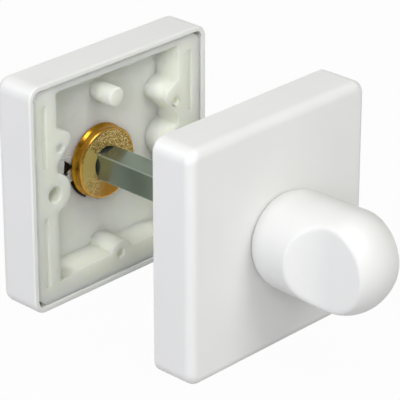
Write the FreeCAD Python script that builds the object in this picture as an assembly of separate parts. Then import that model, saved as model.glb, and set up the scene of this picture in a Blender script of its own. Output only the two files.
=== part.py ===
import FreeCAD
import Part
import math
import os

# Bathroom thumb turn lock: two square roses that share one square spindle, set for one door.
# The spindle lies on Y, with y = 0 half way through the door, and the thumb turn is on the -Y side.
# Rose pieces are drawn on the +Y side, where depth is counted from the rose's back outwards.
# The thumb side uses the same pieces turned half round about Z. Sizes are in millimetres.

# Door and rose covers
door_thickness = 35.0
rose_side = 52.0
rose_depth = 10.5
rose_corner_r = 3.0
rose_edge_r = 2.0
rim_edge_r = 0.4
cover_wall = 1.2
cover_hole_gap = 0.6

# Moulded sub-base inside each cover
base_gap = 0.2
base_recess = 0.5
base_corner_r = 3.2
base_floor = 1.9
side_frame = 6.65
top_frame = 1.75
bottom_frame = 5.1
pocket_corner_r = 0.8
corner_dip = 1.0
corner_dip_run = 5.5
relief_groove_width = 0.9
relief_groove_depth = 0.6
relief_groove_wall = 2.6
relief_groove_end = 3.9
upper_groove_start = 7.0
lower_groove_start = 4.9

# Bosses, guide ears and the post that stand on the sub-base floor
fixing_spacing = 38.0
fixing_hole_r = 1.75
fixing_boss_r = 4.6
guide_ear_top = 14.9
guide_ear_bottom = 6.6
guide_ear_apex_x = 12.9
guide_ear_apex_z = 12.1
guide_ear_nose_r = 2.0
guide_pilot_r = 0.9
guide_pilot_x = 17.2
guide_pilot_z = 10.1
guide_pilot_depth = 1.2
top_post_r = 2.2
top_post_z = 16.2
top_post_drop = 0.5
top_post_edge_r = 0.5
bottom_boss_r = 3.2
bottom_boss_z = 20.5
bottom_pilot_r = 1.0
bottom_pilot_depth = 1.2

# Square spindle
spindle_side = 6.0
spindle_edge_r = 0.3
spindle_end_bevel = 0.5
spindle_end_gap = 0.3

# Brass bush, the same pattern on both sides
socket_gap = 0.05
bush_wall = 1.7
bush_running_gap = 0.05
bush_head = 2.75
bush_flange = 2.3
bush_flange_edge = 0.3
bush_taper = 0.25
bush_bevel = 0.25
bush_face_rim = 0.5
bush_neck_dip = 0.35
bush_bore_relief = 0.65
bush_bore_depth = 2.0
bush_step = 0.3
bush_step_lip = 0.2
bush_step_angle = 136.0
bush_nose_bevel = 0.4

# Lug washer under the bush's flange, and the keeper that holds its lug
axial_gap = 0.05
washer_bore_gap = 0.3
lug_washer_thickness = 0.3
lug_washer_inset = 0.4
lug_reach = 1.7
lug_width = 3.2
lug_root = 0.6
lug_angle = 6.0
heel_reach = 0.4
heel_angle = 41.0
heel_span = 42.0
keeper_height = 0.4
keeper_wall = 0.6
keeper_gap = 0.2

# Glide washers under the thumb turn and the release button
glide_washer_thickness = 0.2
glide_washer_width = 1.7

# Thumb turn
knob_foot_r = 8.7
knob_foot = 4.8
knob_body_r = 10.6
knob_flare = 0.3
knob_shoulder = 18.0
knob_dome = 9.9
knob_socket_depth = 9.0
scoop_waist = 11.9
scoop_flat_start = 18.4
scoop_run_out_r = 9.0
scoop_edge_r = 0.5
nose_seat_gap = 0.02

# Release button on the far side of the door
button_r = 10.0
button_height = 5.0
button_edge_r = 1.2
coin_slot_width = 2.2
coin_slot_length = 14.0
coin_slot_depth = 2.0
coin_slot_web = 0.9

# Places and sizes that follow from those above
half_door = door_thickness / 2
half_rose = rose_side / 2
half_cavity = half_rose - cover_wall
half_base = half_cavity - base_gap
half_pocket = half_base - side_frame
base_front = rose_depth - cover_wall
floor_depth = base_front - base_floor
washer_depth = floor_depth - lug_washer_thickness
flange_depth = washer_depth - axial_gap
bush_face = flange_depth - bush_head
turn_depth = rose_depth + glide_washer_thickness + axial_gap
inner_nose_end = turn_depth + knob_socket_depth
outer_nose_end = turn_depth + button_height - coin_slot_depth - coin_slot_web - spindle_end_gap
socket_side = spindle_side + 2 * socket_gap
bush_bore_r = socket_side / 2 + bush_bore_relief
nose_r = socket_side / math.sqrt(2) + bush_wall
flange_r = nose_r + bush_flange
bush_face_r = flange_r - bush_taper
lug_washer_r = flange_r - lug_washer_inset
knob_shoulder_r = knob_body_r + knob_flare

Vector = FreeCAD.Vector
origin = Vector(0, 0, 0)
along_y = Vector(0, 1, 0)
along_z = Vector(0, 0, 1)
beyond = 1.0


# Shared shapes

def y_at(depth):
    return half_door + depth


def disc(radius, depth_low, depth_high, x=0.0, z=0.0):
    return Part.makeCylinder(radius, depth_high - depth_low, Vector(x, y_at(depth_low), z), along_y)


def ring(inner_r, outer_r, depth_low, depth_high):
    return disc(outer_r, depth_low, depth_high).cut(disc(inner_r, depth_low, depth_high))


def block(x_low, x_high, depth_low, depth_high, z_low, z_high):
    corner = Vector(x_low, y_at(depth_low), z_low)
    return Part.makeBox(x_high - x_low, depth_high - depth_low, z_high - z_low, corner)


def prism(points, depth_low, depth_high):
    # A straight-sided outline of (x, z) points carried from one depth to another
    corners = [Vector(x, y_at(depth_low), z) for x, z in points]
    outline = Part.makePolygon(corners + corners[:1])
    return Part.Face(outline).extrude(along_y * (depth_high - depth_low))


def edges_along_y(shape):
    return [e for e in shape.Edges if e.BoundBox.XLength < 1e-6 and e.BoundBox.ZLength < 1e-6]


def edges_at_depth(shape, depth):
    y = y_at(depth)
    return [e for e in shape.Edges if abs(e.BoundBox.YMin - y) < 1e-6 and abs(e.BoundBox.YMax - y) < 1e-6]


def rounded_block(half_x, depth_low, depth_high, z_low, z_high, corner_r):
    plain = block(-half_x, half_x, depth_low, depth_high, z_low, z_high)
    return plain.makeFillet(corner_r, edges_along_y(plain))


def line(start, end):
    return Part.LineSegment(Vector(*start, 0), Vector(*end, 0)).toShape()


def polyline(points):
    return [line(a, b) for a, b in zip(points, points[1:])]


def spun(edges):
    # A closed outline of (radius, y) points turned once round the spindle's axis
    return Part.Face(Part.Wire(edges)).revolve(origin, along_y, 360)


def on_thumb_side(shape):
    turned = shape.copy()
    turned.rotate(origin, along_z, 180)
    return turned


# Rose cover: a pressed square shell, open at the back, with a clear hole for the bush's nose

def rose_cover():
    front_r = min(rose_edge_r, rose_corner_r - rim_edge_r)
    shell = rounded_block(half_rose, 0, rose_depth, -half_rose, half_rose, rose_corner_r)
    shell = shell.makeFillet(front_r, edges_at_depth(shell, rose_depth))
    shell = shell.makeFillet(rim_edge_r, edges_at_depth(shell, 0))
    inside_r = max(rose_corner_r - cover_wall, rim_edge_r)
    cavity = rounded_block(half_cavity, -beyond, base_front, -half_cavity, half_cavity, inside_r)
    hole = disc(nose_r + cover_hole_gap, 0, rose_depth + beyond)
    return shell.cut(cavity).cut(hole)


# Sub-base: a nylon tray with a frame, bosses, guide ears, a post and the lug keeper

def top_post():
    end = base_recess + top_post_drop
    column = disc(top_post_r, end, floor_depth + base_floor / 2, 0, top_post_z)
    return column.makeFillet(top_post_edge_r, edges_at_depth(column, end))


def bottom_boss():
    # A round-topped boss that grows out of the lower frame
    column = disc(bottom_boss_r, base_recess, base_front, 0, -bottom_boss_z)
    stem = block(-bottom_boss_r, bottom_boss_r, base_recess, base_front, -half_base, -bottom_boss_z)
    return column.fuse(stem)


def guide_ear(side):
    # A triangle that stands out from the side frame, with a rounded nose
    wall = side * half_pocket
    root = side * (half_pocket + beyond)
    apex = side * guide_ear_apex_x
    ear = prism([(root, guide_ear_bottom), (wall, guide_ear_bottom), (apex, guide_ear_apex_z),
                 (wall, guide_ear_top), (root, guide_ear_top)], base_recess, base_front)
    nose = [e for e in edges_along_y(ear) if abs(e.BoundBox.XMin - apex) < 1e-6]
    return ear.makeFillet(guide_ear_nose_r, nose)


def lug(gap, depth_low, depth_high):
    # A dovetail on the left of the axis, widened all round by the gap and tipped up by its angle
    tip = flange_r + lug_reach + gap
    wide = lug_width / 2 + gap
    narrow = lug_root / 2 + gap
    dovetail = prism([(-tip, -wide), (-tip, wide), (-flange_r, narrow), (-nose_r, narrow),
                      (-nose_r, -narrow), (-flange_r, -narrow)], depth_low, depth_high)
    dovetail.rotate(origin, along_y, lug_angle)
    return dovetail


def lug_keeper():
    # A low pad between the side frame and the flange, with a slot for the lug
    half_pad = lug_width / 2 + keeper_gap + keeper_wall
    pad = block(-half_pocket - beyond, 0, floor_depth - keeper_height, base_front, -half_pad, half_pad)
    pad.rotate(origin, along_y, lug_angle)
    return pad.cut([lug(keeper_gap, 0, floor_depth), disc(flange_r + keeper_gap, 0, base_front)])


def corner_dips(z_low):
    # The pocket's lower edge falls away towards both of its corners
    dips = []
    for side in (-1, 1):
        corner = side * half_pocket
        inner = corner - side * corner_dip_run
        dips.append(prism([(inner, z_low), (corner, z_low - corner_dip), (corner, z_low + beyond),
                           (inner, z_low + beyond)], 0, floor_depth))
    return dips


def relief_grooves():
    # Two shallow grooves in each side frame, above and below the fixing boss
    x_outer = half_base - relief_groove_wall
    x_inner = x_outer - relief_groove_width
    z_end = half_base - relief_groove_end
    deep = base_recess + relief_groove_depth
    cuts = []
    for x_low, x_high in ((-x_outer, -x_inner), (x_inner, x_outer)):
        cuts.append(block(x_low, x_high, 0, deep, upper_groove_start, z_end))
        cuts.append(block(x_low, x_high, 0, deep, -z_end, -lower_groove_start))
    return cuts


def sub_base():
    plan = rounded_block(half_base, base_recess, base_front, -half_base, half_base, base_corner_r)
    z_low = -half_base + bottom_frame
    z_high = half_base - top_frame
    pocket = rounded_block(half_pocket, 0, floor_depth, z_low, z_high, pocket_corner_r)
    bosses = [lug_keeper(), top_post(), bottom_boss()]
    holes = relief_grooves()
    holes.append(disc(nose_r + bush_running_gap, 0, rose_depth))
    holes.append(disc(bottom_pilot_r, 0, base_recess + bottom_pilot_depth, 0, -bottom_boss_z))
    for side in (-1, 1):
        fixing_x = side * fixing_spacing / 2
        bosses.append(disc(fixing_boss_r, base_recess, base_front, fixing_x))
        bosses.append(guide_ear(side))
        holes.append(disc(fixing_hole_r, 0, rose_depth, fixing_x))
        pilot_end = base_recess + guide_pilot_depth
        holes.append(disc(guide_pilot_r, 0, pilot_end, side * guide_pilot_x, guide_pilot_z))
    tray = plan.cut([pocket] + corner_dips(z_low)).fuse(bosses).common(plan)
    return tray.cut(holes).removeSplitter()


# Brass bush: a flared head behind a rimmed face, a square socket with a round mouth, and a nose

def bush(nose_end):
    rim_end = bush_face + bush_bevel + bush_face_rim
    outline = [
        (0, y_at(bush_face)),
        (bush_face_r - bush_bevel, y_at(bush_face)),
        (bush_face_r, y_at(bush_face + bush_bevel)),
        (bush_face_r, y_at(rim_end)),
        (bush_face_r - bush_neck_dip, y_at(rim_end + bush_neck_dip)),
        (flange_r, y_at(flange_depth - bush_flange_edge)),
        (flange_r, y_at(flange_depth)),
        (nose_r, y_at(flange_depth)),
        (nose_r, y_at(nose_end - bush_nose_bevel)),
        (nose_r - bush_nose_bevel, y_at(nose_end)),
        (0, y_at(nose_end)),
        (0, y_at(bush_face)),
    ]
    body = spun(polyline(outline))
    half_socket = socket_side / 2
    socket = block(-half_socket, half_socket, 0, nose_end + beyond, -half_socket, half_socket)
    mouth = disc(bush_bore_r, 0, bush_face + bush_bore_depth)
    # One half of the face is sunk inside its rim
    step = block(-flange_r, flange_r, 0, bush_face + bush_step, 0, flange_r)
    step.rotate(origin, along_y, 180 - bush_step_angle)
    step = step.common(disc(bush_face_r - bush_bevel - bush_step_lip, 0, bush_face + bush_step))
    return body.cut([socket, mouth, step])


# Washers

def friction_washer():
    # A flat ring with a dovetail lug and, below it, a heel that shows past the flange
    bore_r = nose_r + washer_bore_gap
    bore = disc(bore_r, washer_depth, floor_depth)
    flat = disc(lug_washer_r, washer_depth, floor_depth)
    heel = Part.makeCylinder(flange_r + heel_reach, lug_washer_thickness,
                             Vector(0, y_at(washer_depth), 0), along_y, heel_span)
    # The sector is drawn from the top and turned to below the left
    top_to_left = 270
    heel.rotate(origin, along_y, top_to_left - heel_angle - heel_span / 2)
    return flat.fuse([lug(0, washer_depth, floor_depth), heel]).cut(bore).removeSplitter()


def glide_washer():
    bore_r = nose_r + washer_bore_gap
    outer_r = bore_r + glide_washer_width
    return ring(bore_r, outer_r, rose_depth, rose_depth + glide_washer_thickness)


# Square spindle with softened edges, bevelled at both ends

def spindle():
    low = -y_at(inner_nose_end - spindle_end_gap)
    high = y_at(outer_nose_end - spindle_end_gap)
    half = spindle_side / 2
    bar = Part.makeBox(spindle_side, high - low, spindle_side, Vector(-half, low, -half))
    ends = [e for e in bar.Edges if e.BoundBox.YLength < 1e-6]
    bar = bar.makeChamfer(spindle_end_bevel, ends)
    return bar.makeFillet(spindle_edge_r, edges_along_y(bar))


# Thumb turn: a rounded foot, a flared body and an elliptical dome, cut away on two sides for the fingers

def quarter_ellipse(radius, y_centre, height):
    curve = Part.BezierCurve()
    tip = y_centre + height
    curve.setPoles([Vector(radius, y_centre, 0), Vector(radius, tip, 0), Vector(0, tip, 0)])
    curve.setWeight(2, math.sqrt(0.5))
    return curve.toShape()


def foot_arc(y_base):
    # From the foot's rim out to the body, upright where it meets the body
    swell = knob_body_r - knob_foot_r
    arc_r = (swell ** 2 + knob_foot ** 2) / (2 * swell)
    half_turn = math.asin(knob_foot / arc_r) / 2
    x_centre = knob_body_r - arc_r
    y_centre = y_base + knob_foot
    start = Vector(knob_foot_r, y_base, 0)
    middle = Vector(x_centre + arc_r * math.cos(half_turn), y_centre - arc_r * math.sin(half_turn), 0)
    end = Vector(knob_body_r, y_centre, 0)
    return Part.Arc(start, middle, end).toShape()


def scoops():
    # On each side a flat from the tip down, which runs out to the body in a round hollow
    reach = 2 * knob_shoulder_r
    start = turn_depth + scoop_flat_start
    past_tip = turn_depth + knob_shoulder + knob_dome + beyond
    tools = []
    for side in (-1, 1):
        wall = side * scoop_waist / 2
        x_low, x_high = sorted((wall, side * reach))
        flat = block(x_low, x_high, start, past_tip, -reach, reach)
        centre = Vector(wall + side * scoop_run_out_r, y_at(start), -reach)
        run_out = Part.makeCylinder(scoop_run_out_r, 2 * reach, centre, along_z)
        tools.append(flat.fuse(run_out).removeSplitter())
    return tools


def scoop_rims(shape):
    # The edges where a flat or its run-out meets the turned body, without the line that joins the two
    rims = []
    for face in shape.Faces:
        surface = face.Surface
        is_run_out = isinstance(surface, Part.Cylinder) and abs(surface.Axis.z) > 0.9
        is_flat = isinstance(surface, Part.Plane) and abs(surface.Axis.x) > 0.9
        if is_run_out or is_flat:
            rims.extend(e for e in face.Edges if e.BoundBox.YLength > 1e-6)
    return rims


def thumb_turn():
    y_base = y_at(turn_depth)
    y_shoulder = y_base + knob_shoulder
    y_tip = y_shoulder + knob_dome
    outline = [
        line((0, y_base), (knob_foot_r, y_base)),
        foot_arc(y_base),
        line((knob_body_r, y_base + knob_foot), (knob_shoulder_r, y_shoulder)),
        quarter_ellipse(knob_shoulder_r, y_shoulder, knob_dome),
        line((0, y_tip), (0, y_base)),
    ]
    body = spun(outline).cut(scoops())
    body = body.makeFillet(scoop_edge_r, scoop_rims(body))
    return body.cut(disc(nose_r + nose_seat_gap, 0, inner_nose_end + spindle_end_gap))


# Release button: a low round cap with a coin slot that lies along the thumb turn's blade

def release_button():
    top = turn_depth + button_height
    cap = disc(button_r, turn_depth, top)
    cap = cap.makeFillet(button_edge_r, edges_at_depth(cap, top))
    half_width = coin_slot_width / 2
    half_length = coin_slot_length / 2 - half_width
    slot_floor = top - coin_slot_depth
    slot = block(-half_width, half_width, slot_floor, top + beyond, -half_length, half_length)
    for end in (-half_length, half_length):
        slot = slot.fuse(disc(half_width, slot_floor, top + beyond, 0, end))
    socket = disc(nose_r + nose_seat_gap, 0, outer_nose_end + spindle_end_gap)
    return cap.cut([slot, socket])


# Every piece in its place

def build_pieces():
    cover = rose_cover()
    base = sub_base()
    washer = friction_washer()
    glide = glide_washer()
    return {
        "inner_rose_cover": on_thumb_side(cover),
        "inner_sub_base": on_thumb_side(base),
        "inner_bush": on_thumb_side(bush(inner_nose_end)),
        "inner_friction_washer": on_thumb_side(washer),
        "inner_glide_washer": on_thumb_side(glide),
        "thumb_turn": on_thumb_side(thumb_turn()),
        "spindle": spindle(),
        "outer_rose_cover": cover,
        "outer_sub_base": base,
        "outer_bush": bush(outer_nose_end),
        "outer_friction_washer": washer,
        "outer_glide_washer": glide,
        "release_button": release_button(),
    }


os.makedirs("parts", exist_ok=True)
for name, shape in build_pieces().items():
    shape.exportStep("parts/" + name + ".step")
    print(name, "valid" if shape.isValid() else "invalid", round(shape.Volume, 1), len(shape.Solids))
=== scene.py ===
import math

import bmesh
import bpy
import numpy as np
from mathutils import Matrix, Vector


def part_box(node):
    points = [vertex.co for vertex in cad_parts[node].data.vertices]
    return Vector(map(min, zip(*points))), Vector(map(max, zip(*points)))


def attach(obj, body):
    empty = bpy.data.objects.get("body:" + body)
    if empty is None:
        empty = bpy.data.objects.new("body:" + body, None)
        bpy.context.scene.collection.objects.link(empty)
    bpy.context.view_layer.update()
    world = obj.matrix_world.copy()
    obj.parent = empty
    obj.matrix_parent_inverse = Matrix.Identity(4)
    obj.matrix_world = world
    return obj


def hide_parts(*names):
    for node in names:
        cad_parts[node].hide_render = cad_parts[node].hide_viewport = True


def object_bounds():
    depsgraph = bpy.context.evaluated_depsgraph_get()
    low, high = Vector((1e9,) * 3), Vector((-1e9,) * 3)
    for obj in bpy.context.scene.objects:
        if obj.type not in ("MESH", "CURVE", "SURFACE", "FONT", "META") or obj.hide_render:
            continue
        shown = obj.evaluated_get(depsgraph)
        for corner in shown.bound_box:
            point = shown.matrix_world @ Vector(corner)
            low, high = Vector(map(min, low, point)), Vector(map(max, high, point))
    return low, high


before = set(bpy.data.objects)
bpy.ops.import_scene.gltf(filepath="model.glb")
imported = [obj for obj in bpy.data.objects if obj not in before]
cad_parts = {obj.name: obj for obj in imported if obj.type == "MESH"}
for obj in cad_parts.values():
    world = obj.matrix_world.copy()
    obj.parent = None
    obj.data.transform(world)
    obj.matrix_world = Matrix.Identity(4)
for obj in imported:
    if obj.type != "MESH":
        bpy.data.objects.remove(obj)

# Bathroom thumb turn lock. Shapes are worked out in millimetres, on the CAD frame:
# the spindle lies on Y, the thumb turn is on the -Y side and z is up.
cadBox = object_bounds()
mm = 0.001
scene = bpy.context.scene
scene.view_settings.view_transform = "Standard"


def nodeBox(node):
    # lowest and highest corner of a CAD node, in millimetres
    low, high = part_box(node)
    return np.array(low) / mm, np.array(high) / mm


coverLow, coverHigh = nodeBox("outer_rose_cover")
buttonLow, buttonHigh = nodeBox("release_button")
spindleLow, spindleHigh = nodeBox("spindle")
knobHigh = nodeBox("thumb_turn")[1]
print("frame read: rose", coverHigh - coverLow)


def hexColour(code):
    # sRGB hex to linear: a power of 2.4 above the straight toe
    srgb = np.array([int(code[i:i + 2], 16) for i in (1, 3, 5)]) / 255
    linear = np.where(srgb <= 0.04045, srgb / 12.92, ((srgb + 0.055) / 1.055) ** 2.4)
    return (*linear.tolist(), 1.0)


def addNode(tree, kind, inputs=None, **settings):
    # one node with its settings, its socket values and its links
    node = tree.nodes.new(kind)
    for key, value in settings.items():
        setattr(node, key, value)
    for key, value in (inputs or {}).items():
        if isinstance(value, bpy.types.NodeSocket):
            tree.links.new(value, node.inputs[key])
        else:
            node.inputs[key].default_value = value
    return node


def newMaterial(name):
    # an empty material, its node tree and the Object coordinates that its patterns read
    material = bpy.data.materials.new(name)
    material.use_nodes = True
    tree = material.node_tree
    tree.nodes.clear()
    place = addNode(tree, "ShaderNodeTexCoord").outputs["Object"]
    return material, tree, place


def perMm(size):
    # texture scale in 1/m for a feature of this size in millimetres
    return 1 / (size * mm)


def closeMaterial(tree, shader):
    addNode(tree, "ShaderNodeOutputMaterial", {"Surface": shader.outputs["BSDF"]})


# Stove enamel, sprayed on pressed metal and baked: an even satin white,
# whose faint orange peel only shows where a highlight runs along an edge
enamel = {"pale": "#EAEAE9", "dull": "#E5E5E3", "patch": 14.0, "peel": 1.1, "peelHeight": 0.004,
          "rough": (0.33, 0.41), "ior": 1.5}


def stoveEnamel():
    material, tree, place = newMaterial("satinWhiteStoveEnamel")
    patches = addNode(tree, "ShaderNodeTexNoise", {"Vector": place, "Scale": perMm(enamel["patch"]),
                      "Detail": 2.0})
    tone = addNode(tree, "ShaderNodeMix", {"Factor": patches.outputs["Fac"], "A": hexColour(enamel["dull"]),
                   "B": hexColour(enamel["pale"])}, data_type="RGBA")
    sheen = addNode(tree, "ShaderNodeMapRange", {"Value": patches.outputs["Fac"],
                    "To Min": enamel["rough"][0], "To Max": enamel["rough"][1]})
    peel = addNode(tree, "ShaderNodeTexNoise", {"Vector": place, "Scale": perMm(enamel["peel"]),
                   "Detail": 1.0})
    bump = addNode(tree, "ShaderNodeBump", {"Height": peel.outputs["Fac"], "Strength": 1.0,
                   "Distance": enamel["peelHeight"] * mm})
    closeMaterial(tree, addNode(tree, "ShaderNodeBsdfPrincipled", {
        "Base Color": tone.outputs["Result"], "Roughness": sheen.outputs["Result"],
        "Normal": bump.outputs["Normal"], "IOR": enamel["ior"]}))
    return material


# Natural nylon, injection moulded: milky greenish white, light creeps through thin walls,
# a spark-eroded mould leaves it finely matt, drawn here as coarse as it needs to show
nylon = {"pale": "#EEF0E8", "deep": "#E8EBDA", "cloud": 9.0, "grain": 0.3, "grainHeight": 0.006,
         "rough": (0.4, 0.55), "ior": 1.53, "creep": 5.0, "creepTint": (1.0, 1.0, 0.8)}


def mouldedNylon():
    material, tree, place = newMaterial("naturalMouldedNylon")
    cloud = addNode(tree, "ShaderNodeTexNoise", {"Vector": place, "Scale": perMm(nylon["cloud"]),
                    "Detail": 3.0})
    tone = addNode(tree, "ShaderNodeMix", {"Factor": cloud.outputs["Fac"], "A": hexColour(nylon["deep"]),
                   "B": hexColour(nylon["pale"])}, data_type="RGBA")
    grain = addNode(tree, "ShaderNodeTexNoise", {"Vector": place, "Scale": perMm(nylon["grain"]),
                    "Detail": 2.0})
    bump = addNode(tree, "ShaderNodeBump", {"Height": grain.outputs["Fac"], "Strength": 1.0,
                   "Distance": nylon["grainHeight"] * mm})
    rough = addNode(tree, "ShaderNodeMapRange", {"Value": grain.outputs["Fac"],
                    "To Min": nylon["rough"][0], "To Max": nylon["rough"][1]})
    closeMaterial(tree, addNode(tree, "ShaderNodeBsdfPrincipled", {
        "Base Color": tone.outputs["Result"], "Roughness": rough.outputs["Result"], "IOR": nylon["ior"],
        "Normal": bump.outputs["Normal"], "Subsurface Weight": 1.0,
        "Subsurface Radius": nylon["creepTint"], "Subsurface Scale": nylon["creep"] * mm}))
    return material


# Brass, turned and then coined on half its face: the turned flare is a deep orange gold that mirrors
# the lamps, the sunk half a field of grains with painted glints and painted shade, the raised half dull
# khaki, painted paler as light on its left, that clears to dark gold.
# Turning rings and grains are finer on the real one: both are drawn as coarse as they need to show.
# the bore's near-black is painted shade, the matt khaki is partly painted light, and the grains' dark and
# bright tones are painted shade and glints
brass = {"bright": "#E6AC40", "dark": "#A26A16", "face": "#93691F", "mattAndPaintedLight": "#BEAA62", "bore": "#20140A",
         "grainPaintedShade": "#5C4514", "grainMiddle": "#B4903A", "grainPaintedGlint": "#FFEEB0", "middleStop": 0.6,
         "ring": 1.508, "ringHeight": 0.0012, "ringWander": 0.6, "grain": 0.16, "grainHeight": 0.03,
         "smudge": 2.2,
         # each lay is its metallic and its roughness
         "turnedLay": (1.0, 0.22), "faceLay": (0.95, 0.3), "mattAndPaintedLightLay": (0.35, 0.6), "coinedLay": (0.5, 0.45),
         "boreLay": (0.95, 0.5)}
waveTurn = 20  # radians that a wave texture runs through in one unit


def turnedBrass():
    material, tree, place = newMaterial("turnedAndCoinedBrass")
    smudge = addNode(tree, "ShaderNodeTexNoise", {"Vector": place, "Scale": perMm(brass["smudge"]),
                     "Detail": 4.0})
    grain = addNode(tree, "ShaderNodeTexVoronoi", {"Vector": place, "Scale": perMm(brass["grain"])})
    # each grain takes its own tone at random, a painted glint or painted shade, as if it leaned its own way
    # to the lamps
    cell = addNode(tree, "ShaderNodeSeparateColor", {"Color": grain.outputs["Color"]})
    lean = addNode(tree, "ShaderNodeValToRGB", {"Fac": cell.outputs["Red"]})
    stops = lean.color_ramp.elements
    stops[0].color, stops[1].color = hexColour(brass["grainPaintedShade"]), hexColour(brass["grainPaintedGlint"])
    stops.new(brass["middleStop"]).color = hexColour(brass["grainMiddle"])
    turned = addNode(tree, "ShaderNodeMix", {"Factor": smudge.outputs["Fac"], "A": hexColour(brass["dark"]),
                     "B": hexColour(brass["bright"])}, data_type="RGBA")
    tone = turned.outputs["Result"]
    mirror, rough = brass["turnedLay"]
    # the face, its matt part with its painted light, the grains with their painted glints and the bore
    # painted dark as shade are laid over the turned metal in turn
    lays = {"face": hexColour(brass["face"]), "mattAndPaintedLight": hexColour(brass["mattAndPaintedLight"]),
            "coined": lean.outputs["Color"], "bore": hexColour(brass["bore"])}
    for label, colour in lays.items():
        metallic, roughness = brass[label + "Lay"]
        share = addNode(tree, "ShaderNodeAttribute", attribute_name=label).outputs["Fac"]
        tone = addNode(tree, "ShaderNodeMix", {"Factor": share, "A": tone, "B": colour},
                       data_type="RGBA").outputs["Result"]
        mirror = addNode(tree, "ShaderNodeMapRange", {"Value": share, "To Min": mirror,
                         "To Max": metallic}).outputs["Result"]
        rough = addNode(tree, "ShaderNodeMapRange", {"Value": share, "To Min": rough,
                        "To Max": roughness}).outputs["Result"]
    ringScale = 2 * math.pi * perMm(brass["ring"]) / waveTurn
    rings = addNode(tree, "ShaderNodeTexWave", {"Vector": place, "Scale": ringScale,
                    "Distortion": brass["ringWander"]}, wave_type="RINGS", rings_direction="Y")
    ringBump = addNode(tree, "ShaderNodeBump", {"Height": rings.outputs["Fac"], "Strength": 1.0,
                       "Distance": brass["ringHeight"] * mm})
    coined = addNode(tree, "ShaderNodeAttribute", attribute_name="coined")
    grainBump = addNode(tree, "ShaderNodeBump", {"Height": grain.outputs["Distance"],
                        "Strength": coined.outputs["Fac"], "Distance": brass["grainHeight"] * mm,
                        "Normal": ringBump.outputs["Normal"]})
    closeMaterial(tree, addNode(tree, "ShaderNodeBsdfPrincipled", {
        "Base Color": tone, "Metallic": mirror, "Roughness": rough, "Normal": grainBump.outputs["Normal"]}))
    return material


# Zinc-plated steel, cold drawn: a cool grey-green metal with faint lines along the bar, drawn as coarse
# as they need to show, and a pale painted highlight along its rounded edges, which are duller there
zinc = {"light": "#9DA99F", "dark": "#97A399", "paintedEdgeHighlight": "#B9C4BA", "lineWidth": 0.2, "lineLength": 14.0,
        "lineHeight": 0.0003, "metallic": 0.85, "rough": (0.19, 0.25), "edgeRough": 0.5}


def drawnZincSteel():
    material, tree, place = newMaterial("zincPlatedDrawnSteel")
    fine = perMm(zinc["lineWidth"])
    along = addNode(tree, "ShaderNodeMapping", {"Vector": place,
                    "Scale": (fine, perMm(zinc["lineLength"]), fine)})
    lines = addNode(tree, "ShaderNodeTexNoise", {"Vector": along.outputs["Vector"], "Scale": 1.0,
                    "Detail": 2.0})
    drawn = addNode(tree, "ShaderNodeMix", {"Factor": lines.outputs["Fac"], "A": hexColour(zinc["dark"]),
                    "B": hexColour(zinc["light"])}, data_type="RGBA")
    # the pale rounded edges are a painted highlight, and they are duller there too
    paintedEdgeHighlight = addNode(tree, "ShaderNodeAttribute", attribute_name="paintedEdgeHighlight")
    tone = addNode(tree, "ShaderNodeMix", {"Factor": paintedEdgeHighlight.outputs["Fac"], "A": drawn.outputs["Result"],
                   "B": hexColour(zinc["paintedEdgeHighlight"])}, data_type="RGBA")
    bump = addNode(tree, "ShaderNodeBump", {"Height": lines.outputs["Fac"], "Strength": 1.0,
                   "Distance": zinc["lineHeight"] * mm})
    rough = addNode(tree, "ShaderNodeMapRange", {"Value": lines.outputs["Fac"],
                    "To Min": zinc["rough"][0], "To Max": zinc["rough"][1]})
    dull = addNode(tree, "ShaderNodeMapRange", {"Value": paintedEdgeHighlight.outputs["Fac"],
                   "To Min": rough.outputs["Result"], "To Max": zinc["edgeRough"]})
    closeMaterial(tree, addNode(tree, "ShaderNodeBsdfPrincipled", {
        "Base Color": tone.outputs["Result"], "Metallic": zinc["metallic"],
        "Roughness": dull.outputs["Result"], "Normal": bump.outputs["Normal"]}))
    return material


# Two blacks: oxide on spring steel is slightly metallic, acetal is a waxy matt
oxide = {"colour": "#0B0B0C", "metallic": 0.6, "rough": (0.35, 0.5), "grain": 0.3, "grainHeight": 0.004}
acetal = {"colour": "#121213", "metallic": 0.0, "rough": (0.45, 0.6), "grain": 0.25, "grainHeight": 0.004}


def blackFinish(name, black):
    material, tree, place = newMaterial(name)
    grain = addNode(tree, "ShaderNodeTexNoise", {"Vector": place, "Scale": perMm(black["grain"]),
                    "Detail": 3.0})
    rough = addNode(tree, "ShaderNodeMapRange", {"Value": grain.outputs["Fac"],
                    "To Min": black["rough"][0], "To Max": black["rough"][1]})
    bump = addNode(tree, "ShaderNodeBump", {"Height": grain.outputs["Fac"], "Strength": 1.0,
                   "Distance": black["grainHeight"] * mm})
    closeMaterial(tree, addNode(tree, "ShaderNodeBsdfPrincipled", {
        "Base Color": hexColour(black["colour"]), "Metallic": black["metallic"],
        "Roughness": rough.outputs["Result"], "Normal": bump.outputs["Normal"]}))
    return material


whiteEnamel = stoveEnamel()
milkyNylon = mouldedNylon()
yellowBrass = turnedBrass()
drawnSteel = drawnZincSteel()
blackSteel = blackFinish("blackOxideSpringSteel", oxide)
blackAcetal = blackFinish("blackMouldedAcetal", acetal)
print("materials made:", len(bpy.data.materials))


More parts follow.
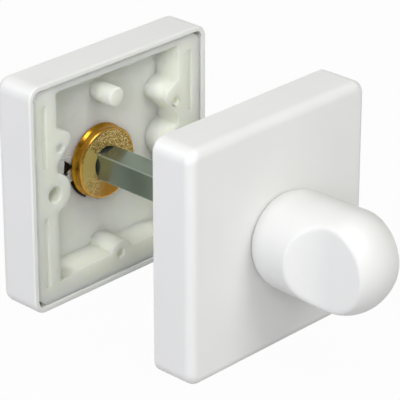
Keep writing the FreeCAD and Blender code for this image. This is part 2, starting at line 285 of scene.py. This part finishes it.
def roundedLine(points, radii, steps=8, support=0.05):
    # A bent line with its corners turned into arcs. Each corner's arc touches both legs at
    # radius / tan(half the angle between them); a support point on each leg keeps the flats flat.
    points = np.array(points, float)
    runs = [points[:1]]
    for before, corner, after, radius in zip(points, points[1:], points[2:], radii):
        toBefore = (before - corner) / np.linalg.norm(before - corner)
        toAfter = (after - corner) / np.linalg.norm(after - corner)
        half = math.acos(np.clip(toBefore @ toAfter, -1, 1)) / 2
        reach = radius / math.tan(half)
        middle = (toBefore + toAfter) / np.linalg.norm(toBefore + toAfter)
        centre = corner + middle * radius / math.sin(half)
        start = corner + toBefore * reach - centre
        first = math.atan2(start[1], start[0])
        end = corner + toAfter * reach - centre
        sweep = (math.atan2(end[1], end[0]) - first + math.pi) % (2 * math.pi) - math.pi
        angles = first + sweep * np.linspace(0, 1, steps + 1)
        arc = centre + radius * np.column_stack([np.cos(angles), np.sin(angles)])
        runs += [[corner + toBefore * (reach + support)], arc, [corner + toAfter * (reach + support)]]
    return np.concatenate(runs + [points[-1:]])


# where a straight side of a rounded square has its points, close to the arcs so that it stays flat
sideShares = np.array([0.003, 0.02, 0.1, 0.3, 0.5, 0.7, 0.9, 0.98, 0.997])


def roundedSquare(half, cornerR, steps=12):
    # Rings (one for each half side) of four corner arcs joined by straight sides, from +x round to +z
    half = np.reshape(half, (-1, 1, 1, 1))
    cornerR = np.reshape(cornerR, (-1, 1, 1, 1))
    angles = np.radians(90 * np.arange(4)[:, None] + np.linspace(0, 90, steps + 1))
    arrows = np.stack([np.cos(angles), np.sin(angles)], axis=-1)
    signs = np.array([[1, 1], [-1, 1], [-1, -1], [1, -1]])[:, None, :]
    arcs = signs * (half - cornerR) + arrows * cornerR
    starts = arcs[:, :, -1:, :]
    ends = np.roll(arcs, -1, axis=1)[:, :, :1, :]
    sides = starts + (ends - starts) * sideShares[:, None]
    return np.concatenate([arcs, sides], axis=2).reshape(len(half), -1, 2)


def circleLike(ring, radius):
    # a circle whose points lie at the same angles as the ring's
    angle = np.arctan2(ring[..., 1], ring[..., 0])
    return radius * np.stack([np.cos(angle), np.sin(angle)], axis=-1)


def standing(ring, depth):
    # (x, z) rings set at their depths along Y, counted outwards from the middle of the door
    depth = np.broadcast_to(np.reshape(depth, (-1, 1)), ring.shape[:2])
    return np.stack([ring[..., 0], depth, ring[..., 1]], axis=-1)


def onThumbSide(points):
    # half a turn about z
    return points * np.array([-1, -1, 1])


def addPiece(name, mesh, material, body, node):
    mesh.materials.clear()
    mesh.materials.append(material)
    piece = bpy.data.objects.new(name, mesh)
    scene.collection.objects.link(piece)
    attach(piece, body)
    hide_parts(node)
    return piece


gridWeld = 1e-4  # millimetres between points that count as one


def skinGrid(name, grid, ringClosed, labels=None):
    # Rows of points become quads. Columns always close round, rows do where ringClosed is set,
    # and points that coincide at poles and seams are merged.
    rows, columns = grid.shape[:2]
    index = np.arange(rows * columns).reshape(rows, columns)
    above = np.roll(index, -1, axis=0)
    if not ringClosed:
        index, above = index[:-1], above[:-1]
    quads = np.stack([index, np.roll(index, -1, axis=1), np.roll(above, -1, axis=1), above], axis=-1)
    mesh = bpy.data.meshes.new(name)
    mesh.from_pydata((grid.reshape(-1, 3) * mm).tolist(), [], quads.reshape(-1, 4).tolist())
    for label, values in (labels or {}).items():
        spread = np.broadcast_to(values, (rows, columns)).ravel().astype(np.float32)
        mesh.attributes.new(label, "FLOAT", "POINT").data.foreach_set("value", spread)
    work = bmesh.new()
    work.from_mesh(mesh)
    bmesh.ops.remove_doubles(work, verts=work.verts, dist=gridWeld * mm)
    bmesh.ops.recalc_face_normals(work, faces=work.faces)
    work.to_mesh(mesh)
    work.free()
    mesh.polygons.foreach_set("use_smooth", np.ones(len(mesh.polygons), bool))
    return mesh


# Rose covers: one section carried round a rounded square, open at the back
rose = {"cornerR": 3.0, "edgeR": 2.0, "rimR": 0.4, "wall": 1.2, "lipR": 0.15, "bendR": 0.4,
        "holeR": 6.6, "flatStart": 6.0, "sharpest": 0.5,
        "flatShares": (0.02, 0.1, 0.25, 0.4, 0.55, 0.7, 0.85, 0.97, 1.0)}


def roseShell(name, turned, body, node):
    back, front, half = coverLow[1], coverHigh[1], coverHigh[0]
    inside = front - rose["wall"]
    section = roundedLine(
        [(rose["flatStart"], front), (0, front), (0, back), (rose["wall"], back),
         (rose["wall"], inside), (rose["flatStart"], inside)],
        [rose["edgeR"], rose["rimR"], rose["lipR"], rose["bendR"]])
    inset, depth = section[:, 0], section[:, 1]
    walls = roundedSquare(half - inset, np.maximum(rose["cornerR"] - inset, rose["sharpest"]))
    # the flats blend from the last square ring to the round hole
    share = np.array(rose["flatShares"])[:, None, None]
    outer = walls[:1] * (1 - share) + circleLike(walls[:1], rose["holeR"]) * share
    inner = walls[-1:] * (1 - share) + circleLike(walls[-1:], rose["holeR"]) * share
    rings = np.concatenate([outer[::-1], walls, inner])
    depths = np.concatenate([np.full(len(share), front), depth, np.full(len(share), inside)])
    grid = standing(rings, depths)
    mesh = skinGrid(name, onThumbSide(grid) if turned else grid, True)
    addPiece(name, mesh, whiteEnamel, body, node)


roseShell("outerRoseShell", False, "outer_rose", "outer_rose_cover")
roseShell("innerRoseShell", True, "inner_rose", "inner_rose_cover")
print("rose covers made")


# Mouldings: the solid's own form, its standing edges rounded as a mould leaves them
moulding = {"edgeR": 0.25, "segments": 3, "cornerR": 3.2, "near": 0.02, "weld": 1e-3, "flatAngle": 0.5,
            "edgeAngle": 32.0, "flatWeight": 100}


def softMoulding(name, body, node):
    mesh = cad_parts[node].data.copy()
    mesh.name = name
    work = bmesh.new()
    work.from_mesh(mesh)
    bmesh.ops.remove_doubles(work, verts=work.verts, dist=moulding["weld"] * mm)
    bmesh.ops.dissolve_limit(work, angle_limit=math.radians(moulding["flatAngle"]),
                             verts=work.verts, edges=work.edges)
    # an edge is rounded where two faces stand out at a sharp angle, but stays sharp where the tray
    # meets its cover: there it lies the corner arcs' radius away from the square inside those arcs
    half = nodeBox(node)[1][0]
    middles = np.array([(edge.verts[0].co + edge.verts[1].co) / 2 for edge in work.edges]) / mm
    past = np.maximum(np.abs(middles[:, [0, 2]]) - (half - moulding["cornerR"]), 0)
    onRim = np.linalg.norm(past, axis=1) > moulding["cornerR"] - moulding["near"]
    sharp = math.radians(moulding["edgeAngle"])
    weight = work.edges.layers.float.new("bevel_weight_edge")
    for edge, rim in zip(work.edges, onRim):
        bent = edge.calc_face_angle(0) > sharp
        edge[weight] = float(edge.is_convex and bent and not rim)
        edge.smooth = not (rim and bent)
    work.to_mesh(mesh)
    work.free()
    mesh.polygons.foreach_set("use_smooth", np.ones(len(mesh.polygons), bool))
    piece = addPiece(name, mesh, milkyNylon, body, node)
    bevel = piece.modifiers.new("mouldEdges", "BEVEL")
    bevel.width = moulding["edgeR"] * mm
    bevel.segments = moulding["segments"]
    bevel.limit_method = "WEIGHT"
    bevel.use_clamp_overlap = False
    flats = piece.modifiers.new("flatFaces", "WEIGHTED_NORMAL")  # keeps the large faces' shading flat
    flats.weight = moulding["flatWeight"]
    flats.keep_sharp = True


softMoulding("outerMoulding", "outer_rose", "outer_sub_base")
softMoulding("innerMoulding", "inner_rose", "inner_sub_base")
print("mouldings made")


# Brass bushes: a flared head behind a rimmed face, half of it sunk, round a square socket with a
# round mouth. Angles are in degrees from +x towards +z.
bush = {"bevel": 0.25, "faceRim": 0.5, "neckDip": 0.35, "taper": 0.25, "flangeEdge": 0.3, "head": 2.75,
        "boreR": 3.7, "boreDepth": 2.0, "boreEdge": 0.12, "socketHalf": 3.05, "noseR": 6.013,
        "noseBevel": 0.4, "backR": 4.575, "step": 0.3, "stepLip": 0.2, "stepAngle": 136.0, "stepSlope": 0.4,
        "flareTurn": (0.25, 0.7), "flareSlopes": (0.1, 0.75), "flareSteps": 33,
        "softR": 0.05, "softSteps": 4, "support": 0.03, "near": 0.01, "columns": 240,
        "faceShares": (0, 0.02, 0.25, 0.5, 0.75, 0.98, 1.0),
        # the matt patch is painted paler as light on the lit side, and the rim's share of it is a painted
        # highlight
        "mattAndPaintedLightStart": 90.0, "mattAndPaintedLightEnd": 250.0, "mattAndPaintedLightRun": 55.0, "rimMattAndPaintedLight": 0.15,
        "grainStart": 185.0, "grainEnd": 262.0, "grainRun": 30.0, "grainShare": 0.7}


def brassBush(name, turned, body, node):
    low, high = nodeBox(node)
    face, noseEnd = (low[1], high[1]) if not turned else (-high[1], -low[1])
    flangeR = high[2]
    faceR = flangeR - bush["taper"]
    flange = face + bush["head"]
    sunkR = faceR - bush["bevel"] - bush["stepLip"]
    rimEnd = face + bush["bevel"] + bush["faceRim"]
    # section from the sunk half's edge out over rim, neck and flange to the nose's end, as (radius, depth);
    # the flare opens like a trumpet: its slope rises by a smooth step and its radius is the slope's sum
    neck = np.array([faceR - bush["neckDip"], rimEnd + bush["neckDip"]])
    lip = np.array([flangeR, flange - bush["flangeEdge"]])
    along = np.linspace(0, 1, bush["flareSteps"])
    turnStart, turnEnd = bush["flareTurn"]
    rise = np.clip((along - turnStart) / (turnEnd - turnStart), 0, 1)
    slope = np.interp(rise * rise * (3 - 2 * rise), (0, 1), bush["flareSlopes"])
    swell = np.cumsum(slope) - slope[0]
    flare = np.column_stack([swell / swell[-1], along])[2:-1:2] * (lip - neck) + neck
    corners = np.concatenate([
        [(sunkR, face), (faceR - bush["bevel"], face), (faceR, face + bush["bevel"]), (faceR, rimEnd), neck],
        flare,
        [lip, (flangeR, flange), (bush["noseR"], flange), (bush["noseR"], noseEnd - bush["noseBevel"]),
         (bush["noseR"] - bush["noseBevel"], noseEnd), (bush["backR"], noseEnd)]])
    section = roundedLine(corners, [bush["softR"]] * (len(corners) - 2), bush["softSteps"], bush["support"])
    # columns: evenly round, and on the socket's corners, the mouth's corners and both sides of the step
    stepTurn = math.radians(bush["stepAngle"])
    stepLean = math.radians(bush["stepSlope"])
    mouthTurn = math.acos(bush["socketHalf"] / bush["boreR"])
    quarter = math.pi / 2
    extra = [at + quarter * i for at in (quarter / 2, mouthTurn, quarter - mouthTurn) for i in range(4)]
    extra += [stepTurn + side + lean for side in (0, math.pi) for lean in (-stepLean, stepLean)]
    angles = np.unique(np.concatenate([np.linspace(0, 2 * math.pi, bush["columns"], endpoint=False),
                                       np.mod(extra, 2 * math.pi)]))
    arrow = np.stack([np.cos(angles), np.sin(angles)], axis=-1)
    # the socket is a square in polar form, and the mouth the larger of that square and the bore
    square = bush["socketHalf"] / np.abs(arrow).max(axis=1)
    mouth = np.maximum(square, bush["boreR"])
    # the face runs from the mouth to the sunk half's edge; that half drops by the step
    share = np.array(bush["faceShares"])[:, None]
    sunk = np.clip(np.sin(stepTurn - angles) / math.sin(stepLean), 0, 1)
    faceRows = mouth + (sunkR - mouth) * share
    faceDepth = face + bush["step"] * sunk * np.ones_like(share)
    floor = np.full_like(angles, face + bush["boreDepth"])
    back = np.full_like(angles, noseEnd)
    boreRows = [square, square, mouth, mouth]
    radius = np.concatenate([boreRows, faceRows, section[:, :1] * np.ones_like(angles)])
    depth = np.concatenate([[back, floor, floor, faceDepth[0] + bush["boreEdge"]], faceDepth,
                            section[:, 1:] * np.ones_like(angles)])
    grid = np.stack([radius * arrow[:, 0], depth, radius * arrow[:, 1]], axis=-1)
    # finishes: grain on the sunk half and at the raised half's lower left, matt with painted light at its
    # left and on the rim, where it is a painted highlight; the bore painted dark as shade
    degrees = np.degrees(angles)
    row = np.arange(len(radius)) - len(boreRows)
    onFace = (row >= 0) & (row < len(share))
    onRim = (row >= len(share)) & (radius[:, 0] > sunkR + bush["near"]) & (depth[:, 0] < rimEnd)
    # the bore rows get near-black brass as painted shade
    inBore = row < 0
    mattAndPaintedLight = np.clip((bush["mattAndPaintedLightEnd"] - degrees) / bush["mattAndPaintedLightRun"], 0, 1) * (degrees > bush["mattAndPaintedLightStart"])
    grained = np.clip((degrees - bush["grainStart"]) / bush["grainRun"], 0, 1)
    grained = grained * np.clip((bush["grainEnd"] - degrees) / bush["grainRun"], 0, 1) * bush["grainShare"]
    labels = {"face": onFace[:, None], "mattAndPaintedLight": onFace[:, None] * mattAndPaintedLight + onRim[:, None] * bush["rimMattAndPaintedLight"],
              "coined": onFace[:, None] * np.maximum(sunk, grained), "bore": inBore[:, None]}
    mesh = skinGrid(name, onThumbSide(grid) if turned else grid, True, labels)
    addPiece(name, mesh, yellowBrass, body, node)


brassBush("outerBrassBush", False, "release", "outer_bush")
brassBush("innerBrassBush", True, "turn", "inner_bush")
print("bushes made")


# Square spindle: a rounded square drawn along Y, bevelled at both ends
bar = {"edgeR": 0.3, "endBevel": 0.5, "support": 0.05}


def squareSpindle():
    low, high, half = spindleLow[1], spindleHigh[1], spindleHigh[0]
    bevel, near = bar["endBevel"], bar["support"]
    inset = np.array([half, bevel + near, bevel, near / 2, 0, 0])
    place = np.array([0, 0, 0, bevel - near / 2, bevel, bevel + near])
    stations = np.concatenate([low + place, high - place[::-1]])
    insets = np.concatenate([inset, inset[::-1]])
    rings = roundedSquare(half - insets, np.minimum(bar["edgeR"], half - insets))
    # the four rounded edges are marked for the pale painted highlight
    quarter = rings.shape[1] // 4
    paintedEdgeHighlight = np.arange(rings.shape[1]) % quarter < quarter - len(sideShares)
    mesh = skinGrid("squareSpindle", standing(rings, stations), False, {"paintedEdgeHighlight": paintedEdgeHighlight})
    addPiece("squareSpindle", mesh, drawnSteel, "turn", "spindle")


squareSpindle()
print("spindle made")


# Thumb turn: a rounded foot, a flared body and an elliptical dome, cut away on two sides for the fingers
turn = {"footR": 8.7, "foot": 4.8, "bodyR": 10.6, "shoulder": 18.0, "dome": 9.9, "socketR": 6.033,
        "socketDepth": 9.3, "footEdgeR": 0.08, "socketEdgeR": 0.1, "edgeSteps": 6, "support": 0.02,
        "waist": 11.9, "flatStart": 18.4, "runOutR": 9.0, "scoopSoft": 0.8, "leastCosine": 1e-3,
        "domeRows": 100, "bodyRows": 82, "arcRows": 26, "columns": 320}


def softMin(a, b, width):
    # the lesser of two values, with a parabola of this width where they cross
    share = np.clip(0.5 + 0.5 * (b - a) / width, 0, 1)
    return b * (1 - share) + a * share - width * share * (1 - share)


def thumbTurn():
    base, shoulderR = -knobHigh[1], knobHigh[2]
    # outer section as (radius, height): dome from the tip, flared body, and an arc in to the foot
    swing = np.radians(np.linspace(90, 0, turn["domeRows"]))
    dome = np.column_stack([shoulderR * np.cos(swing), turn["shoulder"] + turn["dome"] * np.sin(swing)])
    flare = np.linspace(0, 1, turn["bodyRows"])[1:]
    body = np.column_stack([shoulderR + (turn["bodyR"] - shoulderR) * flare,
                            turn["shoulder"] + (turn["foot"] - turn["shoulder"]) * flare])
    swell = turn["bodyR"] - turn["footR"]
    arcR = (swell ** 2 + turn["foot"] ** 2) / (2 * swell)
    bend = np.linspace(0, math.asin(turn["foot"] / arcR), turn["arcRows"])[1:-1]
    arc = np.column_stack([turn["bodyR"] - arcR + arcR * np.cos(bend), turn["foot"] - arcR * np.sin(bend)])
    # then the flat base and its socket
    under = roundedLine([arc[-1], (turn["footR"], 0), (turn["socketR"], 0),
                         (turn["socketR"], turn["socketDepth"])],
                        [turn["footEdgeR"], turn["socketEdgeR"]], turn["edgeSteps"], turn["support"])[1:]
    pole = np.array([[0.0, turn["socketDepth"]]])
    section = np.concatenate([dome, body, arc, under, pole])
    radius, height = section[:, :1], section[:, 1:]
    angle = np.linspace(0, 2 * math.pi, turn["columns"], endpoint=False)
    # a grip's wall stands at half the waist from the tip down, then runs out by a circle's sag
    below = np.clip(turn["flatStart"] - height, 0, turn["runOutR"])
    wall = turn["waist"] / 2 + turn["runOutR"] - np.sqrt(turn["runOutR"] ** 2 - below ** 2)
    across = np.maximum(np.abs(np.cos(angle)), turn["leastCosine"])
    hollow = softMin(radius, wall / across, turn["scoopSoft"])
    outside = np.arange(len(section))[:, None] < len(dome) + len(body)
    reach = np.where(outside & (radius > turn["scoopSoft"]), hollow, radius)
    grid = np.stack([reach * np.cos(angle), np.broadcast_to(-(base + height), reach.shape),
                     reach * np.sin(angle)], axis=-1)
    mesh = skinGrid("thumbTurnKnob", grid, False)
    addPiece("thumbTurnKnob", mesh, whiteEnamel, "turn", "thumb_turn")


thumbTurn()
print("thumb turn made")


# Release button: a low cap whose top blends from a coin slot's outline to a circle
button = {"edgeR": 1.2, "edgeClear": 0.1, "footR": 0.15, "socketR": 6.03, "socketDepth": 2.1,
          "socketEdgeR": 0.05, "slotWidth": 2.2, "slotLength": 14.0, "slotDepth": 2.0, "floorR": 0.1,
          "lipR": 0.2, "lipRun": 0.6, "slotSteps": 5, "support": 0.04, "spread": 3.0,
          "sideShares": (0.01, 0.1, 0.3, 0.5, 0.7, 0.9, 0.99), "topShares": (0.1, 0.3, 0.5, 0.7, 0.9, 1.0)}


def slotRing(offset, steps=24):
    # two half circles on the slot's ends, widened by each offset and joined by straight sides
    offset = np.reshape(offset, (-1, 1))
    halfWidth = button["slotWidth"] / 2
    halfRun = button["slotLength"] / 2 - halfWidth
    swing = np.linspace(0, math.pi, steps + 1)
    run = halfRun * (1 - 2 * np.array(button["sideShares"]))
    wide = halfWidth + offset
    x = np.concatenate([wide * np.cos(swing), -wide * np.ones_like(run), -wide * np.cos(swing),
                        wide * np.ones_like(run)], axis=1)
    z = np.concatenate([halfRun + wide * np.sin(swing), run + 0 * wide, -halfRun - wide * np.sin(swing),
                        -run + 0 * wide], axis=1)
    return np.stack([x, z], axis=-1)


def releaseButton():
    base, top, outerR = buttonLow[1], buttonHigh[1], buttonHigh[0]
    floor = top - button["slotDepth"]
    # slot: seam along its middle, floor, wall and softened lip, as (offset, depth)
    slot = roundedLine([(-button["slotWidth"] / 2, floor), (0, floor), (0, top), (button["lipRun"], top)],
                       [button["floorR"], button["lipR"]], button["slotSteps"], button["support"])
    slotRings = slotRing(slot[:, 0])
    share = np.array(button["topShares"])[:, None, None]
    flatR = outerR - button["edgeR"] - button["edgeClear"]
    # the round rings take their angles from the slot's outline, spread wide
    unitRing = circleLike(slotRing(button["spread"]), 1.0)
    topRings = slotRings[-1:] * (1 - share) + unitRing * flatR * share
    rim = roundedLine([(flatR, top), (outerR, top), (outerR, base), (button["socketR"], base),
                       (button["socketR"], base + button["socketDepth"])],
                      [button["edgeR"], button["footR"], button["socketEdgeR"]])[1:]
    rimRings = unitRing * rim[:, :1, None]
    pole = np.zeros_like(rimRings[:1])
    rings = np.concatenate([slotRings, topRings, rimRings, pole])
    depths = np.concatenate([slot[:, 1], np.full(len(share), top), rim[:, 1], rim[-1:, 1]])
    mesh = skinGrid("coinReleaseButton", standing(rings, depths), False)
    addPiece("coinReleaseButton", mesh, whiteEnamel, "release", "release_button")


releaseButton()
print("release button made")

# Washers keep their solids
for node, material in (("inner_friction_washer", blackSteel), ("outer_friction_washer", blackSteel),
                       ("inner_glide_washer", blackAcetal), ("outer_glide_washer", blackAcetal)):
    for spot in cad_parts[node].material_slots:
        spot.material = material
print("washers finished")


# Floor: white to the eye and to reflections, with the object's faint shadow left on it
stage = {"size": 6.0, "white": "#A8A8A8", "glow": 0.97}


def paleFloor():
    half = stage["size"] / 2
    level = cadBox[0][2]
    mesh = bpy.data.meshes.new("paleFloor")
    mesh.from_pydata([(-half, -half, level), (half, -half, level), (half, half, level), (-half, half, level)],
                     [], [(0, 1, 2, 3)])
    material = bpy.data.materials.new("paleFloorPaint")
    material.use_nodes = True
    tree = material.node_tree
    tree.nodes.clear()
    path = addNode(tree, "ShaderNodeLightPath").outputs
    seen = addNode(tree, "ShaderNodeMath", {0: path["Is Camera Ray"], 1: path["Is Glossy Ray"]},
                   operation="MAXIMUM")
    seen = addNode(tree, "ShaderNodeMath", {0: seen.outputs[0], 1: path["Is Transmission Ray"]},
                   operation="MAXIMUM")
    share = addNode(tree, "ShaderNodeMath", {0: seen.outputs[0], 1: stage["glow"]}, operation="MULTIPLY")
    paint = addNode(tree, "ShaderNodeBsdfDiffuse", {"Color": hexColour(stage["white"])})
    glow = addNode(tree, "ShaderNodeEmission", {"Color": (1, 1, 1, 1), "Strength": 1.0})
    mix = addNode(tree, "ShaderNodeMixShader", {0: share.outputs[0], 1: paint.outputs[0],
                  2: glow.outputs[0]})
    addNode(tree, "ShaderNodeOutputMaterial", {"Surface": mix.outputs[0]})
    mesh.materials.append(material)
    floor = bpy.data.objects.new("paleFloor", mesh)
    scene.collection.objects.link(floor)


paleFloor()

# Light: a soft studio with broad lamps all round the near side, one behind at the left and a low one
# behind at the right for the release side. The metals don't mirror the key lamp or that low one.
studio = {"sky": 0.15, "skyColour": "#FFFFFF"}
lamps = {
    "overheadLamp": {"at": (0.0, -0.6, 0.8), "size": 0.5, "power": 3.2, "colour": "#FDFFF8",
                     "mirrored": True},
    "keyLamp": {"at": (-0.66, -0.57, 0.49), "size": 0.5, "power": 4.45, "colour": "#FDFDFF",
                "mirrored": False},
    "leftLamp": {"at": (-0.95, -0.1, 0.32), "size": 0.5, "power": 2.3, "colour": "#F0F0FF",
                 "mirrored": True},
    "topLamp": {"at": (-0.12, -0.3, 0.95), "size": 0.4, "power": 1.4, "colour": "#FDFFF6",
                "mirrored": True},
    "backLamp": {"at": (-0.6, 0.5, 0.62), "size": 0.5, "power": 2.2, "colour": "#FFFFFF",
                 "mirrored": True},
    "rearLamp": {"at": (0.45, 0.85, 0.26), "size": 0.5, "power": 4.8, "colour": "#FFFFFF",
                 "mirrored": False},
    "frontLamp": {"at": (0.0, -0.95, 0.32), "size": 0.5, "power": 1.2, "colour": "#FFFFFC",
                  "mirrored": True},
}


def softStudio():
    world = bpy.data.worlds.new("softStudioSky")
    scene.world = world
    world.use_nodes = True
    sky = world.node_tree.nodes["Background"]
    sky.inputs["Color"].default_value = hexColour(studio["skyColour"])
    sky.inputs["Strength"].default_value = studio["sky"]
    for name, plan in lamps.items():
        data = bpy.data.lights.new(name, "AREA")
        data.shape = "SQUARE"
        data.size = plan["size"]
        data.energy = plan["power"]
        data.color = hexColour(plan["colour"])[:3]
        lamp = bpy.data.objects.new(name, data)
        scene.collection.objects.link(lamp)
        lamp.visible_glossy = plan["mirrored"]
        lamp.location = plan["at"]
        lamp.rotation_euler = (-Vector(plan["at"])).to_track_quat("-Z", "Y").to_euler()


softStudio()

# Camera: fitted to the edges of both roses in the picture, which is 400 pixels square
eye = {"azimuth": -46.26, "elevation": 25.36, "focalPixels": 2516.0, "picture": 400, "sensor": 36.0,
       "distance": 527.2, "aimRight": 4.07, "aimUp": -1.56}


def photoCamera():
    around, above = math.radians(eye["azimuth"]), math.radians(eye["elevation"])
    right = Vector((math.cos(around), math.sin(around), 0))
    back = Vector((math.sin(around) * math.cos(above), -math.cos(around) * math.cos(above), math.sin(above)))
    up = back.cross(right)
    data = bpy.data.cameras.new("photoCamera")
    data.sensor_width = eye["sensor"]
    data.lens = eye["focalPixels"] / eye["picture"] * eye["sensor"]
    camera = bpy.data.objects.new("photoCamera", data)
    scene.collection.objects.link(camera)
    spot = (right * eye["aimRight"] + up * eye["aimUp"] + back * eye["distance"]) * mm
    turnTo = Matrix((right, up, back)).transposed().to_4x4()
    camera.matrix_world = Matrix.Translation(spot) @ turnTo
    scene.camera = camera


photoCamera()
print("stage, light and camera set")
